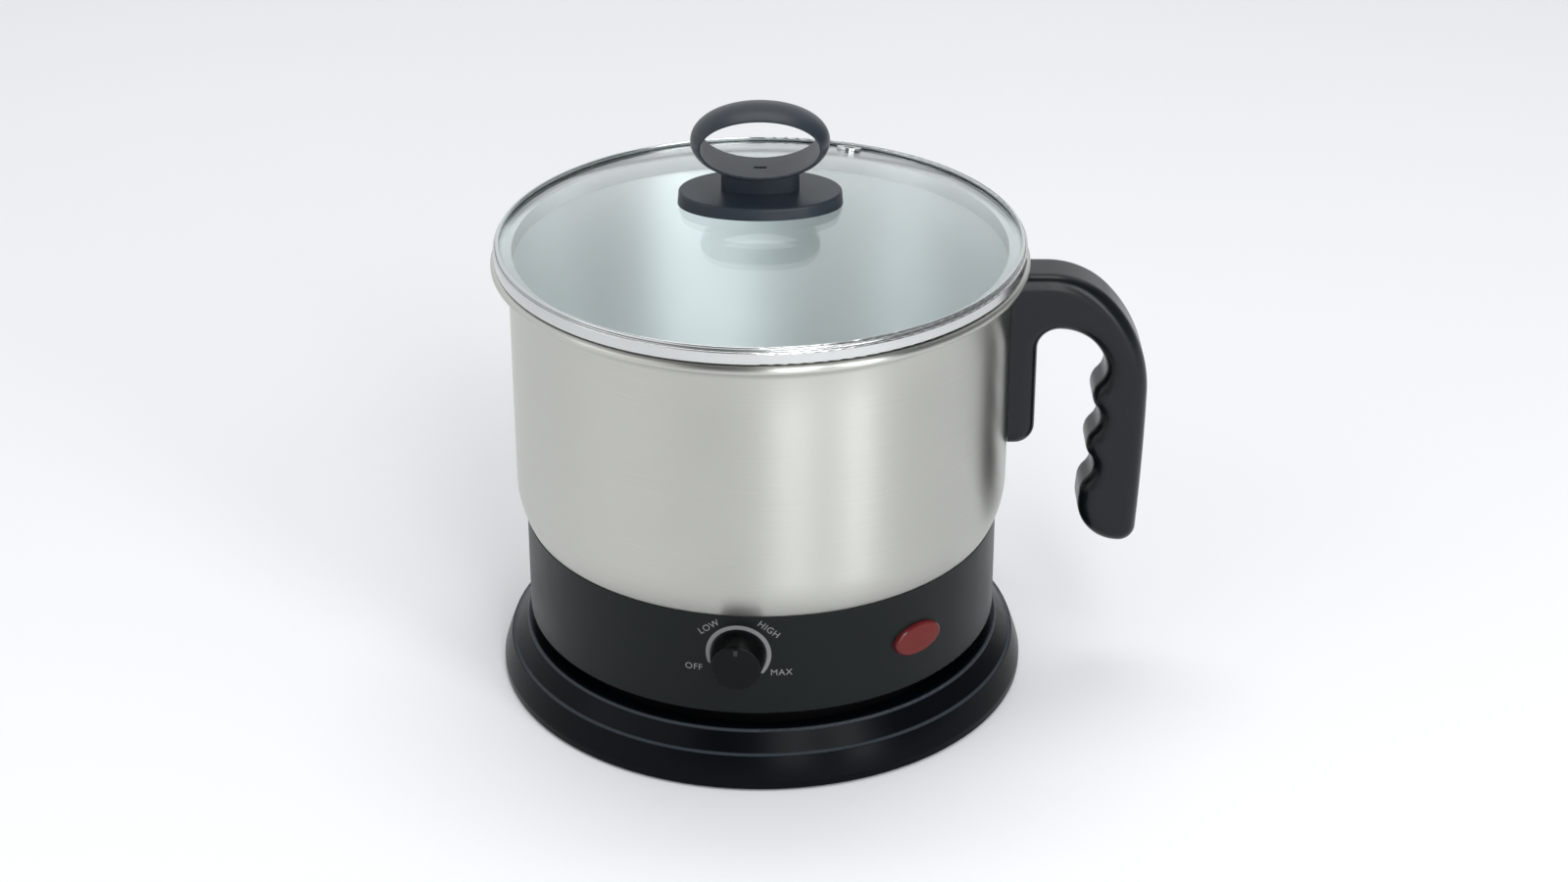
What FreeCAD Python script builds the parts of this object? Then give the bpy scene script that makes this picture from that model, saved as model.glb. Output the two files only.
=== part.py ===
import FreeCAD, Part
import math
import os

os.makedirs("parts", exist_ok=True)

# An electric hot pot: a steel pot on a black housing with a dial and a lamp, a hook-shaped handle,
# a lift-off glass lid, and a round power base that the pot plugs onto. Millimetres, +Z up.
# The origin is on the pot's axis at the table. The handle points along +X.

# Fits
fit_gap = 0.3            # free gap between separate pieces that come apart
slip_gap = 0.05          # radial gap of a screw or a shaft in its hole
seat_gap = 0.1           # gap where a curved face lies on another

# Screws: shank radius, head radius and head height
SMALL = (1.5, 2.8, 1.6)
KNOB = (2.4, 4.5, 2.2)
HANDLE = (1.9, 3.4, 2.0)
screw_bite = 9.0
screw_spare = 0.5        # free depth beyond a screw's tip
head_sink = 0.8          # how deep a head lies in a thin cover
slot_half = 0.4          # half width of a screw's slot

# Steel pot
pot_inner_r = 80.0
pot_wall = 0.7
steel_face = 89.3
turn_in = 2.8
turn_h = 12.8
corner_r = 6.0
bead_r = 1.6
bead_reach = 3.9
rim_neck = 3.5
bead_neck_a = 215.0      # where the wall runs into the rolled bead
seal_t = 2.7
seal_squeeze = 0.2

# Housing below the pot
housing_step = 0.1       # how far the housing stands inside the steel's lower edge
housing_wall = 2.2
shadow_gap = 5.1
housing_face = 36.3
housing_corner = 0.6
ledge_t = 2.0
ledge_w = 2.4
seal_inset = 0.2
foot_ring_inset = 7.8
foot_ring_w = 3.0
pot_cover_t = 2.2
pot_cover_inset = 0.5
post_gap = 4.5           # from the heater plate's edge to the ring of fixing posts
post_count = 3
post_angle = 90.0
post_r = 3.2

# Power base
lip_out = 1.3
step_out = 4.8
skirt_out = 3.5
skirt_lift = 1.0
skirt_bulge = 0.5
rim_z = 3.4
step_z = 11.4
step_ledge = 1.6
lip_z = 17.8
lip_width = 2.1
lip_round = 0.9
deck_drop = 2.6
base_wall = 2.2
slope_wall = 2.4
cover_t = 1.6
cover_z = 1.4
foot_count = 4
foot_angle = 45.0
foot_r = 6.5
foot_round = 1.0
foot_inset = 19.4
foot_sink = 0.7
base_screw_count = 3
base_screw_angle = 30.0
base_screw_inset = 35.4
boss_r = 4.0

# Cord outlet at the back of the base
cord_bore_r = 3.1
gland_wall = 1.2
gland_z = 8.0
gland_flange = 0.3
gland_flange_t = 2.0
gland_proud = 2.4
gland_tail = 10.0

# Round plug between base and pot
tower_r = 18.7
tower_h = 15.3
tower_flange = 6.0
tower_flange_t = 2.2
tower_round = 1.2
pin_r = 2.9
pin_len = 10.5
pin_reach = 9.0
pin_tail = 3.0
live_ring_r = 7.7
neutral_ring_r = 13.1
ring_t = 1.0
slot_depth = 8.5
ring_reach = 7.5
slot_w = 3.0
contact_t = 0.6
contact_len = 6.0
coupler_gap = 1.4
coupler_wall = 2.6
coupler_headroom = 2.0
coupler_roof = 3.0
coupler_skirt = 2.4
coupler_flange = 3.4
coupler_flange_t = 3.0

# Heater and controls
plate_inset = 22.0
plate_t = 3.0
element_inset = 11.0
element_tube_r = 3.3
element_sweep = 290.0
element_drop = 6.0
terminal_r = 1.2
terminal_len = 6.0
cutout_r = 7.0
cutout_h = 6.0
cutout_round = 0.8
cutout_x = -22.0
strap_w = 6.0
strap_t = 0.8
strap_reach = 6.0
fuse_r = 2.0
fuse_len = 12.0
fuse_y = 24.0

# Wiring inside the housing
lead_r = 1.1
lamp_lead_r = 0.7
lead_bend = 3.0
lead_low = 4.3           # height of the low run over the housing's lower edge
lead_high = 18.1         # height of the high run over the housing's lower edge
lead_spread = 6.0
lead_outer = 0.72        # share of the heater pin's radius where a lead climbs
lead_inner = 0.32        # share of it where the lead comes down on the socket
lead_run = 2.6           # straight run behind a tab, in bend radii

# Dial and its thermostat
dial_angle = -95.0
dial_h_over = 22.0       # height of the dial's axis over the housing's lower edge
dial_r = 9.0
dial_face_r = 7.7
dial_h = 8.4
dial_gap = 0.4
dial_round = 0.8
dial_hollow = (1.6, 1.4)
mark_size = (1.4, 0.45)
mark_span = (0.6, 0.88)
shaft_r = 3.0
shaft_in_knob = 6.0
shaft_flat = 0.5         # where the D's flat lies, in shaft radii
shaft_end_gap = 0.5
thermostat_w = 22.0
thermostat_h = 10.6
thermostat_d = 15.0
thermostat_plate_t = 1.2
thermostat_back = 4.1
thermostat_round = 1.0
thermostat_screw_gap = 12.4
thermostat_bite = 3.5
head_inset = 0.6
pad_wall = 0.4
tab_len = 5.0
tab_w = 4.8
tab_t = 0.8

# Signal lamp
lamp_angle = -50.3
lamp_h_over = 17.6
lens_w = 18.6
lens_h = 10.9
lens_proud = 1.6
lens_edge_r = 1.0
lens_lap = 1.4
lens_tail = 2.4
lamp_box_d = 12.0
lamp_box_wall = 1.4
lamp_box_trim = 0.5
neon_r = 2.2
neon_len = 10.0
bulb_round = 0.6         # end rounding of the neon lamp and the earth pin, in radii

# Handle
handle_w = 20.0
handle_edge_r = 5.0
handle_drop = 5.7        # from the pot's rim down to the handle's top
handle_out = 44.9        # from the wall to the outermost point
arm_out = 11.3
shoulder_r = 28.0
shoulder_turn = 46.4
grip_taper = 1.35
grip_drop = 102.3
grip_foot_r = 5.5
grip_heel_r = 14.0
grip_lean = 4.7
wave_count = 3
wave_share = 0.229       # pitch of the finger waves, as a share of the grip
wave_depth = 3.3
crest_share = 0.24       # height of the first finger wave over the grip's foot, as a share of the grip
arch_drop = 24.9
arch_turn = 100.0
leg_out = 8.6
leg_drop = 65.8
leg_foot_r = 6.5
bracket_w = 12.0
bracket_t = 2.4
bracket_low = 4.0        # from the leg's foot up to the bracket
bracket_high = 4.4       # from the bracket up to the arch
handle_screw_low = 6.5
handle_screw_high = 8.0
handle_head_sink = 0.4

# Lid
band_out = 4.5
band_t = 0.6
lid_lift = 0.3
glass_t = 3.0
glass_rise = 14.1
lip_reach = 1.9
skirt_h = 4.2
vent_angle = 66.7
vent_inset = 10.0
vent_bore_r = 1.8
vent_wall = 1.0
vent_flange_r = 4.2
vent_flange_t = 0.7

# Lid knob
knob_plate_a = 26.7
knob_plate_b = 17.9
knob_plate_draft = 0.8
knob_plate_t = 3.2
knob_plate_skirt = 6.0
knob_plate_round = 0.8
knob_ring_a = 22.0
knob_ring_b = 12.45
knob_hole_a = 18.7
knob_hole_b = 9.25
knob_depth = 17.0
knob_ring_edge = 0.7
knob_ring_up = 16.5
knob_sections = 7
stem_a = 12.4
stem_b = 4.6
stem_drop = 1.0
slot_mark = (4.0, 1.5, 0.6)
knob_screw_cover = 1.8
gasket_r = 8.0
gasket_t = 0.8
washer_r = 7.0
washer_t = 1.0

# Radii that follow from the sizes above
pot_r = pot_inner_r + pot_wall
joint_r = pot_r - turn_in
housing_r = joint_r - housing_step
housing_inner_r = housing_r - housing_wall
foot_ring_out = housing_r - foot_ring_inset
lip_r = housing_r + lip_out
step_r = lip_r + step_out
base_r = step_r + skirt_out
foot_ring_r = base_r - foot_inset
base_screw_ring_r = base_r - base_screw_inset
plate_r = pot_inner_r - plate_inset
element_ring_r = plate_r - element_inset
post_ring_r = plate_r + post_gap
thermostat_plate_x = housing_inner_r - thermostat_back
head_seat_x = housing_r - head_inset - SMALL[2]
band_r = pot_r + band_out
glass_edge_r = band_r - band_t - seat_gap

# Levels that follow from the sizes above
deck_z = lip_z - deck_drop
tower_top_z = deck_z + tower_h
housing_z = lip_z + shadow_gap
joint_z = housing_z + housing_face
dial_z = housing_z + dial_h_over
lamp_z = housing_z + lamp_h_over
lead_low_z = housing_z + lead_low
lead_high_z = housing_z + lead_high
rim_z_top = joint_z + steel_face
seat_z = rim_z_top + lid_lift
glass_z0 = seat_z + band_t
glass_top_z = glass_z0 + glass_t + glass_rise
dome_r = (glass_edge_r ** 2 + glass_rise ** 2) / (2 * glass_rise)
dome_c = glass_top_z - dome_r
knob_plate_z = glass_top_z + knob_plate_t
knob_ring_z = knob_plate_z + knob_ring_up
handle_top_z = rim_z_top - handle_drop
grip_foot_z = rim_z_top - grip_drop
arch_z = rim_z_top - arch_drop
crest_z = grip_foot_z + crest_share * (arch_z - grip_foot_z)
wave_pitch = wave_share * (arch_z - grip_foot_z)
leg_foot_z = rim_z_top - leg_drop
bracket_z0 = leg_foot_z + bracket_low
bracket_z1 = arch_z - bracket_high

# Arcs of the pot's lower edge and bead
bead_c = (pot_r + bead_reach, rim_z_top - bead_r)
turn_r = (turn_h ** 2 + turn_in ** 2) / (2 * turn_in)
turn_angle = math.asin(turn_h / turn_r)
corner_c = (joint_r - corner_r * math.cos(turn_angle), joint_z + corner_r * math.sin(turn_angle))
floor_under_z = corner_c[1] - corner_r

# Handle outline, in the XZ plane
handle_reach = pot_r + handle_out
arm_flat = pot_r + arm_out
leg_x = pot_r + leg_out

# Steam hole
vent_ring_r = glass_edge_r - vent_inset
vent_x = vent_ring_r * math.cos(math.radians(vent_angle))
vent_y = vent_ring_r * math.sin(math.radians(vent_angle))

V = FreeCAD.Vector
UP = V(0, 0, 1)
ORIGIN = V(0, 0, 0)


def near(a, b):
    """True for two values that are the same but for rounding."""
    return math.isclose(a, b, abs_tol=slip_gap / 5)


def save(name, shape):
    shape.exportStep("parts/%s.step" % name)


def edges(start, steps):
    """Lines (x, z) and three-point arcs (mid x, mid z, x, z) drawn one after another in the XZ plane."""
    here = V(start[0], 0, start[1])
    made = []
    for step in steps:
        there = V(step[-2], 0, step[-1])
        if len(step) == 2:
            made.append(Part.LineSegment(here, there).toShape())
        else:
            made.append(Part.Arc(here, V(step[0], 0, step[1]), there).toShape())
        here = there
    return made


def face(start, steps):
    closed = list(steps) + [start]
    return Part.Face(Part.Wire(edges(start, closed)))


def turned(start, steps):
    """A solid turned about the pot's axis."""
    return face(start, steps).revolve(ORIGIN, UP, 360)


def on_arc(centre, radius, degrees):
    a = math.radians(degrees)
    return (centre[0] + radius * math.cos(a), centre[1] + radius * math.sin(a))


def arc(centre, radius, a0, a1):
    """The step that draws an arc about a centre from a0 to a1 degrees."""
    return on_arc(centre, radius, (a0 + a1) / 2) + on_arc(centre, radius, a1)


def disc(r, z0, z1, x=0.0, y=0.0):
    return Part.makeCylinder(r, z1 - z0, V(x, y, z0))


def tube(r_in, r_out, z0, z1, x=0.0, y=0.0):
    return disc(r_out, z0, z1, x, y).cut(disc(r_in, z0, z1, x, y))


def rod(r, x0, x1, y=0.0, z=0.0):
    """A round bar along X."""
    return Part.makeCylinder(r, x1 - x0, V(x0, y, z), V(1, 0, 0))


def block(x0, x1, y0, y1, z0, z1):
    return Part.makeBox(x1 - x0, y1 - y0, z1 - z0, V(x0, y0, z0))


def spun(shape, degrees):
    """A copy turned about the pot's axis."""
    copy = shape.copy()
    copy.rotate(ORIGIN, UP, degrees)
    return copy


def around(shape, count, first=0.0):
    return [spun(shape, first + 360.0 * i / count) for i in range(count)]


def oval(a, b, centre, normal, across):
    """An ellipse wire: half axis a along the direction across, half axis b square to it."""
    rise = normal.cross(across)
    if a >= b:
        curve = Part.Ellipse(centre + across * a, centre + rise * b, centre)
    else:
        curve = Part.Ellipse(centre + rise * b, centre - across * a, centre)
    return Part.Wire(curve.toShape())


def oval_bar(a, b, x0, x1, z):
    """An oval bar along X: half width a along Y and half height b along Z."""
    wire = oval(a, b, V(x0, 0, z), V(1, 0, 0), V(0, 1, 0))
    return Part.Face(wire).extrude(V(x1 - x0, 0, 0))


def screw(size, head_z, tip_z, x=0.0, y=0.0):
    """A screw along Z: its head lies below head_z and its shank runs up to tip_z."""
    shank_r, head_r, head_h = size
    head = disc(head_r, head_z - head_h, head_z, x, y)
    slot = block(x - head_r, x + head_r, y - slot_half, y + slot_half, head_z - head_h, head_z - head_h / 2)
    return head.fuse(disc(shank_r, head_z, tip_z, x, y)).cut(slot).removeSplitter()


def lead(points, bend, r):
    """A round wire through the points, with an arc of the bend radius at each turn."""
    spots = [V(*p) for p in points]
    made = []
    here = spots[0]
    for i in range(1, len(spots) - 1):
        back = (spots[i - 1] - spots[i]).normalize()
        ahead = (spots[i + 1] - spots[i]).normalize()
        half = back.getAngle(ahead) / 2
        leg = bend / math.tan(half)
        centre = spots[i] + (back + ahead).normalize() * (bend / math.sin(half))
        mid = centre + (spots[i] - centre).normalize() * bend
        made.append(Part.LineSegment(here, spots[i] + back * leg).toShape())
        here = spots[i] + ahead * leg
        made.append(Part.Arc(spots[i] + back * leg, mid, here).toShape())
    made.append(Part.LineSegment(here, spots[-1]).toShape())
    section = Part.Wire(Part.Circle(spots[0], spots[1] - spots[0], r).toShape())
    return Part.Wire(made).makePipeShell([section], True, False)


def power_base():
    """The black moulded base, its cover, feet and screws."""
    small = lip_round / 5
    slope_foot = (step_r - step_ledge / 2, step_z + step_ledge / 2)
    bulge = ((step_r + base_r) / 2 + skirt_bulge, (step_z + rim_z) / 2)
    outline = [
        (base_r - base_wall, skirt_lift),
        (base_r - base_wall, rim_z),
        (step_r - slope_wall, step_z - base_wall),
        (lip_r - base_wall, deck_z - base_wall),
        (tower_r + fit_gap, deck_z - base_wall),
        (tower_r + fit_gap, deck_z),
        (lip_r - lip_width, deck_z),
        (lip_r - lip_width, lip_z),
        (lip_r - lip_round, lip_z),
        (lip_r - small, lip_z - small, lip_r + small, lip_z - lip_round),
        slope_foot,
        (step_r - small, step_z + small, step_r + step_ledge / 2, step_z - small),
        (bulge[0], bulge[1], base_r, rim_z),
    ]
    shell = turned((base_r, skirt_lift), outline)
    cover_top = cover_z + cover_t
    ring = base_screw_ring_r
    bosses = around(disc(boss_r, cover_top, deck_z - base_wall, ring), base_screw_count, base_screw_angle)
    bores = around(disc(SMALL[0] + slip_gap, cover_top, cover_top + screw_bite, ring), base_screw_count,
                   base_screw_angle)
    shell = shell.fuse(bosses).removeSplitter()
    for bore in bores:
        shell = shell.cut(bore)
    outlet_r = cord_bore_r + gland_wall + seat_gap
    gland_hole = Part.makeCylinder(outlet_r, base_r, V(0, lip_r - base_wall, gland_z), V(0, 1, 0))
    save("base_shell", shell.cut(gland_hole))

    cover = disc(base_r - base_wall - fit_gap, cover_z, cover_top)
    pocket_z = cover_z + foot_sink
    head_z = cover_z + head_sink
    tools = around(disc(foot_r + seat_gap, cover_z, pocket_z, foot_ring_r), foot_count, foot_angle)
    tools += around(disc(SMALL[1] + fit_gap, cover_z, head_z, ring), base_screw_count, base_screw_angle)
    tools += around(disc(SMALL[0] + fit_gap, cover_z, cover_top, ring), base_screw_count, base_screw_angle)
    for tool in tools:
        cover = cover.cut(tool)
    save("base_cover", cover)

    tread_c = (foot_r - foot_round, foot_round)
    foot = turned((0, 0), [(tread_c[0], 0), arc(tread_c, foot_round, -90, 0), (foot_r, pocket_z),
                           (0, pocket_z)])
    foot.translate(V(foot_ring_r, 0, 0))
    save("base_feet", Part.makeCompound(around(foot, foot_count, foot_angle)))
    fixing = screw(SMALL, head_z, cover_top + screw_bite - screw_spare, ring)
    save("base_screws", Part.makeCompound(around(fixing, base_screw_count, base_screw_angle)))


def cord_gland():
    """The bushing in the back wall that the mains lead leaves through."""
    r = cord_bore_r + gland_wall
    y_out = base_r + gland_proud
    y_flange = lip_r - 2 * gland_flange_t
    y_end = lip_r - gland_flange_t - gland_tail
    back = V(0, 1, 0)
    body = Part.makeCylinder(r, y_out - y_end, V(0, y_end, gland_z), back)
    flange = Part.makeCylinder(r + gland_flange, gland_flange_t, V(0, y_flange, gland_z), back)
    bore = Part.makeCylinder(cord_bore_r, y_out - y_end, V(0, y_end, gland_z), back)
    gland = body.fuse(flange).removeSplitter()
    mouth = [e for e in gland.Edges if near(e.CenterOfMass.y, y_out)]
    save("cord_gland", gland.makeFillet(gland_wall / 2, mouth).cut(bore))


def power_plug():
    """The round tower in the base and the socket in the pot, with their pins and rings."""
    flange_z = deck_z - base_wall
    tower = disc(tower_r, flange_z, tower_top_z)
    tower = tower.fuse(disc(tower_r + tower_flange, flange_z - tower_flange_t, flange_z)).removeSplitter()
    slot_z = tower_top_z - slot_depth
    well_r = pin_r + contact_t + 2 * fit_gap
    tower = tower.cut(disc(well_r, tower_top_z - pin_len, tower_top_z))
    for r in (live_ring_r, neutral_ring_r):
        tower = tower.cut(tube(r - slot_w / 2, r + slot_w / 2, slot_z, tower_top_z))
    rim = [e for e in tower.Edges if near(e.CenterOfMass.z, tower_top_z) and near(e.Curve.Radius, tower_r)]
    save("connector_tower", tower.makeFillet(tower_round, rim))
    sleeve_z = tower_top_z - pin_len
    sleeve_r = pin_r + fit_gap
    save("tower_earth_sleeve", tube(sleeve_r, sleeve_r + contact_t, sleeve_z, sleeve_z + contact_len))
    inner_faces = [r - ring_t / 2 - fit_gap for r in (live_ring_r, neutral_ring_r)]
    rings = [tube(r - contact_t, r, slot_z, slot_z + contact_len) for r in inner_faces]
    save("tower_contacts", Part.makeCompound(rings))

    roof_z = tower_top_z + coupler_headroom
    top_z = roof_z + coupler_roof
    mouth_z = housing_z - coupler_skirt
    wall_r = tower_r + coupler_gap
    out_r = wall_r + coupler_wall
    cover_top = housing_z + pot_cover_inset + pot_cover_t
    socket = disc(out_r, mouth_z, top_z)
    flange = disc(out_r + coupler_flange, cover_top, cover_top + coupler_flange_t)
    socket = socket.fuse(flange).removeSplitter()
    socket = socket.cut(disc(wall_r, mouth_z, roof_z))
    socket = socket.cut(disc(pin_r, roof_z, top_z))
    groove_z = (roof_z + top_z) / 2
    rings = []
    for r in (live_ring_r, neutral_ring_r):
        socket = socket.cut(tube(r - ring_t / 2, r + ring_t / 2, roof_z, groove_z))
        rings.append(tube(r - ring_t / 2, r + ring_t / 2, roof_z - ring_reach, groove_z))
    save("pot_socket", socket)
    save("socket_rings", Part.makeCompound(rings))
    tip_z = roof_z - pin_reach
    pin = disc(pin_r, tip_z, top_z + pin_tail)
    tip = [e for e in pin.Edges if near(e.CenterOfMass.z, tip_z)]
    save("socket_earth_pin", pin.makeFillet(pin_r * bulb_round, tip))
    return out_r, cover_top, top_z


def housing(socket_r, cover_top):
    """The black housing ring with its holes, its bottom cover and the screws that clamp them."""
    gap_r = corner_r + fit_gap
    lip_a = -math.degrees(math.acos((housing_r - corner_c[0]) / gap_r))
    in_a = -math.degrees(math.acos((housing_inner_r - corner_c[0]) / gap_r))
    ledge_r = housing_inner_r - ledge_w
    seal_z = floor_under_z - seal_squeeze - seal_t
    foot_c = (housing_r - housing_corner, housing_z + housing_corner)
    shell = turned(
        (foot_c[0], housing_z),
        [
            arc(foot_c, housing_corner, -90, 0),
            on_arc(corner_c, gap_r, lip_a),
            arc(corner_c, gap_r, lip_a, in_a),
            (housing_inner_r, seal_z),
            (ledge_r, seal_z),
            (ledge_r, seal_z - ledge_t),
            (housing_inner_r, seal_z - ledge_t - ledge_w),
            (housing_inner_r, cover_top + ledge_t + ledge_w),
            (ledge_r, cover_top + ledge_t),
            (ledge_r, cover_top),
            (housing_inner_r, cover_top),
            (housing_inner_r, housing_z),
        ],
    )
    outside = housing_r + housing_wall
    plate_front = thermostat_plate_x + thermostat_plate_t
    pads = []
    cuts = [rod(shaft_r + fit_gap, thermostat_plate_x, outside, 0, dial_z)]
    for y in (-thermostat_screw_gap / 2, thermostat_screw_gap / 2):
        pads.append(rod(SMALL[1] + pad_wall, plate_front, head_seat_x, y, dial_z))
        cuts.append(rod(SMALL[0] + slip_gap, thermostat_plate_x, outside, y, dial_z))
        cuts.append(rod(SMALL[1] + seat_gap, head_seat_x, outside, y, dial_z))
    shell = shell.fuse([spun(pad, dial_angle) for pad in pads]).removeSplitter()
    for cut in cuts:
        shell = shell.cut(spun(cut, dial_angle))
    window = oval_bar(lens_w / 2 - lens_lap + seat_gap, lens_h / 2 - lens_lap + seat_gap,
                      housing_inner_r - housing_wall, outside, lamp_z)
    save("housing", shell.cut(spun(window, lamp_angle)))

    save("pot_seal", tube(ledge_r + seal_inset, housing_inner_r - seat_gap, seal_z, seal_z + seal_t))

    under_z = cover_top - pot_cover_t
    head_z = under_z + head_sink
    cover = disc(housing_inner_r - fit_gap, under_z, cover_top)
    cover = cover.fuse(tube(foot_ring_out - foot_ring_w, foot_ring_out, deck_z, under_z)).removeSplitter()
    cover = cover.cut(disc(socket_r + fit_gap, under_z, cover_top))
    tools = around(disc(SMALL[1] + fit_gap, under_z, head_z, post_ring_r), post_count, post_angle)
    tools += around(disc(SMALL[0] + fit_gap, under_z, cover_top, post_ring_r), post_count, post_angle)
    for tool in tools:
        cover = cover.cut(tool)
    save("pot_cover", cover)
    fixing = screw(SMALL, head_z, cover_top + screw_bite - screw_spare, post_ring_r)
    save("pot_cover_screws", Part.makeCompound(around(fixing, post_count, post_angle)))
    post = disc(post_r, cover_top, floor_under_z, post_ring_r)
    post = post.cut(disc(SMALL[0] + slip_gap, cover_top, cover_top + screw_bite, post_ring_r))
    save("fixing_posts", Part.makeCompound(around(post, post_count, post_angle)))


def steel_pot():
    """The drawn steel pot: rolled bead, straight wall, turned-in lower edge and floor."""
    t = pot_wall
    turn_c = (pot_r - turn_r, joint_z + turn_h)
    a = math.degrees(turn_angle)
    neck_z = bead_c[1] - rim_neck
    inner_bend = bead_reach + pot_wall - bead_r * 5 / 4
    inner_c = (pot_inner_r + inner_bend, rim_z_top - inner_bend)
    shell = turned(
        (0, floor_under_z),
        [
            (corner_c[0], floor_under_z),
            arc(corner_c, corner_r, -90, -a),
            arc(turn_c, turn_r, -a, 0),
            (pot_r, neck_z),
            on_arc(bead_c, bead_r, bead_neck_a),
            arc(bead_c, bead_r, bead_neck_a, 360 + 90),
            (inner_c[0], rim_z_top),
            arc(inner_c, inner_bend, 90, 180),
            (pot_inner_r, turn_c[1]),
            arc(turn_c, turn_r - t, 0, -a),
            arc(corner_c, corner_r - t, -a, -90),
            (0, floor_under_z + t),
        ],
    )
    save("pot_shell", shell)


def heater():
    """The plate and tubular element under the floor, with the boil-dry cut-out and the fuse."""
    plate_z = floor_under_z - plate_t
    save("heater_plate", disc(plate_r, plate_z, floor_under_z))
    z = plate_z - element_tube_r - seat_gap
    turn = element_tube_r * 2
    ends = []
    for side in (1, -1):
        a = math.radians(90 + side * element_sweep / 2)
        point = V(element_ring_r * math.cos(a), element_ring_r * math.sin(a), z)
        ahead = V(-math.sin(a), math.cos(a), 0) * side
        low = point + ahead * turn - UP * turn
        mid = point + ahead * turn * math.sin(math.pi / 4) - UP * turn * (1 - math.cos(math.pi / 4))
        ends.append((point, mid, low))
    top = V(0, element_ring_r, z)
    (p1, m1, l1), (p2, m2, l2) = ends
    drop = UP * element_drop
    path = Part.Wire([
        Part.LineSegment(l1 - drop, l1).toShape(),
        Part.Arc(l1, m1, p1).toShape(),
        Part.Arc(p1, top, p2).toShape(),
        Part.Arc(p2, m2, l2).toShape(),
        Part.LineSegment(l2, l2 - drop).toShape(),
    ])
    section = Part.Wire(Part.Circle(l1 - drop, UP, element_tube_r).toShape())
    save("heater_element", path.makePipeShell([section], True, False))
    foot_z = l1.z - element_drop
    pins = [disc(terminal_r, foot_z - terminal_len, foot_z, low.x, low.y) for low in (l1, l2)]
    save("heater_terminals", Part.makeCompound(pins))

    can_z = plate_z - cutout_h
    can = disc(cutout_r, can_z, plate_z, cutout_x)
    rim = [e for e in can.Edges if near(e.CenterOfMass.z, can_z)]
    save("boil_dry_cutout", can.makeFillet(cutout_round, rim))
    x0, x1 = cutout_x - strap_w / 2, cutout_x + strap_w / 2
    far = cutout_r + strap_reach
    strap = block(x0, x1, -far, far, can_z - strap_t, can_z)
    legs = [block(x0, x1, y, y + strap_t, can_z - strap_t, plate_z) for y in (-far, far - strap_t)]
    save("cutout_strap", strap.fuse(legs).removeSplitter())
    save("thermal_fuse", rod(fuse_r, -fuse_len / 2, fuse_len / 2, fuse_y, plate_z - fuse_r - seat_gap))
    return [(low.x, low.y, foot_z - terminal_len) for low in (l1, l2)]


def thermostat():
    """The adjustable thermostat behind the dial: plate, body, screws and turning shaft."""
    back = thermostat_plate_x
    front = back + thermostat_plate_t
    rear = back - thermostat_d
    half_w = thermostat_w / 2
    z0, z1 = dial_z - thermostat_h / 2, dial_z + thermostat_h / 2
    plate = block(back, front, -half_w, half_w, z0, z1).cut(rod(shaft_r + fit_gap, back, front, 0, dial_z))
    body = block(rear, back, -half_w, half_w, z0, z1)
    rear_edges = [e for e in body.Edges if near(e.CenterOfMass.x, rear)]
    body = body.makeFillet(thermostat_round, rear_edges)
    body = body.cut(rod(shaft_r + slip_gap, (rear + back) / 2, back, 0, dial_z))
    pins = []
    for y in (-thermostat_screw_gap / 2, thermostat_screw_gap / 2):
        tip_x = back - thermostat_bite
        bore = rod(SMALL[0] + slip_gap, tip_x - screw_spare, front, y, dial_z)
        plate = plate.cut(bore)
        body = body.cut(bore)
        head_x = head_seat_x + SMALL[2]
        pin = rod(SMALL[1], head_seat_x, head_x, y, dial_z).fuse(rod(SMALL[0], tip_x, head_seat_x, y, dial_z))
        slot = block(head_x - SMALL[2] / 2, head_x, y - SMALL[1], y + SMALL[1],
                     dial_z - slot_half, dial_z + slot_half)
        pins.append(pin.cut(slot))
    tab_x = rear - tab_len
    lugs = [block(tab_x, rear, y - tab_w / 2, y + tab_w / 2, dial_z - tab_t / 2, dial_z + tab_t / 2)
            for y in (-lead_spread, lead_spread)]
    save("thermostat_plate", spun(plate, dial_angle))
    save("thermostat_body", spun(body, dial_angle))
    save("thermostat_tabs", Part.makeCompound([spun(lug, dial_angle) for lug in lugs]))
    save("thermostat_screws", Part.makeCompound([spun(pin, dial_angle) for pin in pins]))
    knob_back = housing_r + dial_gap
    end_x = knob_back + shaft_in_knob
    shaft = rod(shaft_r, (rear + back) / 2 + shaft_end_gap, end_x, 0, dial_z)
    flat = block(knob_back + dial_hollow[1], end_x, -shaft_r, shaft_r, dial_z - shaft_r,
                 dial_z - shaft_r * shaft_flat)
    save("thermostat_shaft", spun(shaft.cut(flat), dial_angle))
    return knob_back, tab_x


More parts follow.
